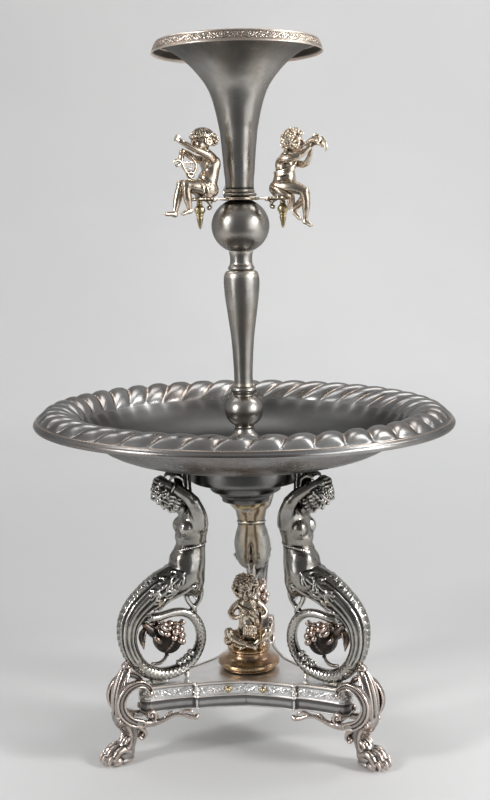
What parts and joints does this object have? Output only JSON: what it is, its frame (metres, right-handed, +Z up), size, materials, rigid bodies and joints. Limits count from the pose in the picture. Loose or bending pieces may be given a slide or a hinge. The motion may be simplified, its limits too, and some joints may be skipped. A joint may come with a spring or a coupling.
{
  "type": "table centerpiece",
  "caption": "Figural table centerpiece: lion-paw base, mermaid supports, wide gadrooned dish, turned stem with a figure gallery, and a lift-out trumpet flower vase.",
  "frame": {"origin": "on the table, under the stem's axis, at the height of the paw soles", "axes": "+Z up along the stem; +Y towards foot_3; the picture was taken from about -Y"},
  "size_m": [0.3588, 0.3588, 0.5996],
  "materials": {
    "pewter": "tarnished silver plate, satin",
    "dish_silver": "tarnished silver plate with copper wear on the ridges",
    "plate_silver": "silver plate, satin",
    "figure_silver": "cast and silver plated, brassy where worn",
    "mermaid_silver": "cast and silver plated, dark in the recesses",
    "foot_silver": "cast and silver plated, pinkish where worn",
    "lip_silver": "stamped ornament, silver plated, pinkish where worn",
    "bronze": "worn plate over copper, satin",
    "brass": "brass, aged",
    "steel": "plain steel fastener"
  },
  "bodies": {
    "stand": {"base_plate": "plate_silver", "foot_1": "foot_silver", "foot_2": "foot_silver", "foot_3": "foot_silver", "foot_nut_1": "steel", "foot_nut_2": "steel", "foot_nut_3": "steel", "mermaid_1": "mermaid_silver", "mermaid_2": "mermaid_silver", "mermaid_3": "mermaid_silver", "flower_1": "foot_silver", "flower_2": "foot_silver", "flower_3": "foot_silver", "centre_plinth": "bronze", "centre_child": "figure_silver", "child_staff": "bronze", "centre_nut": "steel", "dish_boss": "pewter", "tie_rod": "steel", "dish": "dish_silver", "stem_foot": "pewter", "lower_ball": "pewter", "collar_ring": "pewter", "baluster": "pewter", "baluster_ring": "pewter", "ball_neck": "pewter", "upper_ball": "pewter", "frieze_stud_1": "brass", "frieze_stud_2": "brass", "frieze_stud_3": "brass", "frieze_stud_4": "brass", "frieze_stud_5": "brass", "frieze_stud_6": "brass"},
    "gallery_ring": {"gallery": "figure_silver", "drop_finial_1": "brass", "drop_finial_2": "brass", "drop_finial_3": "brass", "gallery_child_1": "figure_silver", "gallery_child_2": "figure_silver", "gallery_child_3": "figure_silver"},
    "vase": {"vase_spigot": "pewter", "trumpet_vase": "pewter", "lip_band": "lip_silver"},
    "rod_nut": {"dish_nut": "brass"}
  },
  "joints": [
    {"name": "trumpet_lift", "type": "slide", "parent": "stand", "child": "vase", "axis": [0, 0, 1], "range_m": [0, 0.045]},
    {"name": "gallery_turn", "type": "hinge", "parent": "stand", "child": "gallery_ring", "pos_m": [0, 0, 0.472], "axis": [0, 0, 1], "continuous": true},
    {"name": "dish_nut_turn", "type": "hinge", "parent": "stand", "child": "rod_nut", "pos_m": [0, 0, 0.21], "axis": [0, 0, 1], "continuous": true}
  ]
}
